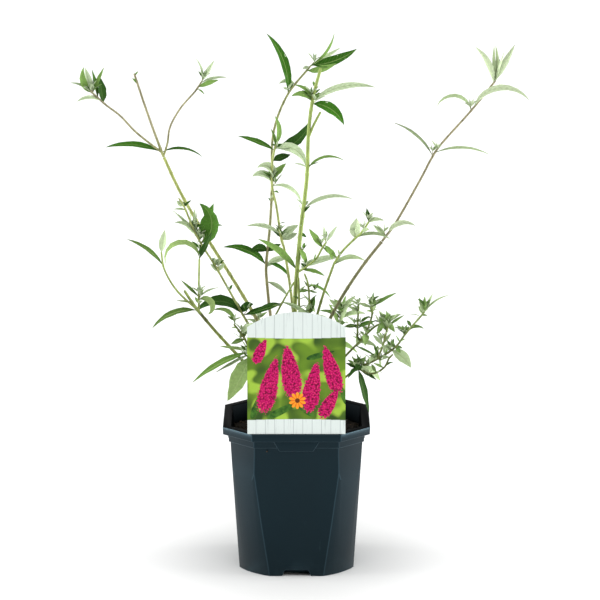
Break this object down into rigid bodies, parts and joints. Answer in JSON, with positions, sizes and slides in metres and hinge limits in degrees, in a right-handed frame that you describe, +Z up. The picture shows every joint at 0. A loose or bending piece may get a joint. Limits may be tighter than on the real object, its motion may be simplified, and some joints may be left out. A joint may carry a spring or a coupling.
{
  "type": "potted butterfly bush",
  "caption": "Young shrub with arching canes and lance-shaped leaves, growing in a square-topped round-footed nursery pot filled with compost, with an upright picture card at the rim.",
  "frame": {"origin": "centre of the pot's underside, on the ground plane", "axes": "+Z up along the pot's axis; -Y towards the side that the card faces; +X to the right seen from there"},
  "size_m": [0.4688, 0.1913, 0.542],
  "materials": {
    "pot_plastic": "satin moulded plastic, dark blue-grey",
    "compost": "loose, dark and moist",
    "card": "printed, smooth",
    "bark": "rough brown bark",
    "canes": "smooth young bark, green to brown",
    "foliage": "matt leaves, pale beneath"
  },
  "bodies": {
    "root": {"pot": "pot_plastic", "compost": "compost", "label_card": "card", "stem_foot": "bark", "cane_left_tall": "canes", "cane_left_thin": "canes", "cane_left_low": "canes", "cane_left_short": "canes", "cane_brown": "canes", "cane_olive": "canes", "cane_main": "canes", "cane_centre_short": "canes", "cane_right_middle": "canes", "cane_right_tall": "canes", "cane_right_low": "canes", "cane_right_short": "canes", "cane_back_left": "canes", "cane_back_right": "canes", "foliage_left_tall": "foliage", "foliage_left_middle": "foliage", "foliage_left_low": "foliage", "foliage_left_foot": "foliage", "foliage_brown": "foliage", "foliage_olive": "foliage", "foliage_main": "foliage", "foliage_centre_foot": "foliage", "foliage_right_middle": "foliage", "foliage_right_tall": "foliage", "foliage_right_low": "foliage", "foliage_right_foot": "foliage", "foliage_back_left": "foliage", "foliage_back_right": "foliage"}
  },
  "joints": []
}
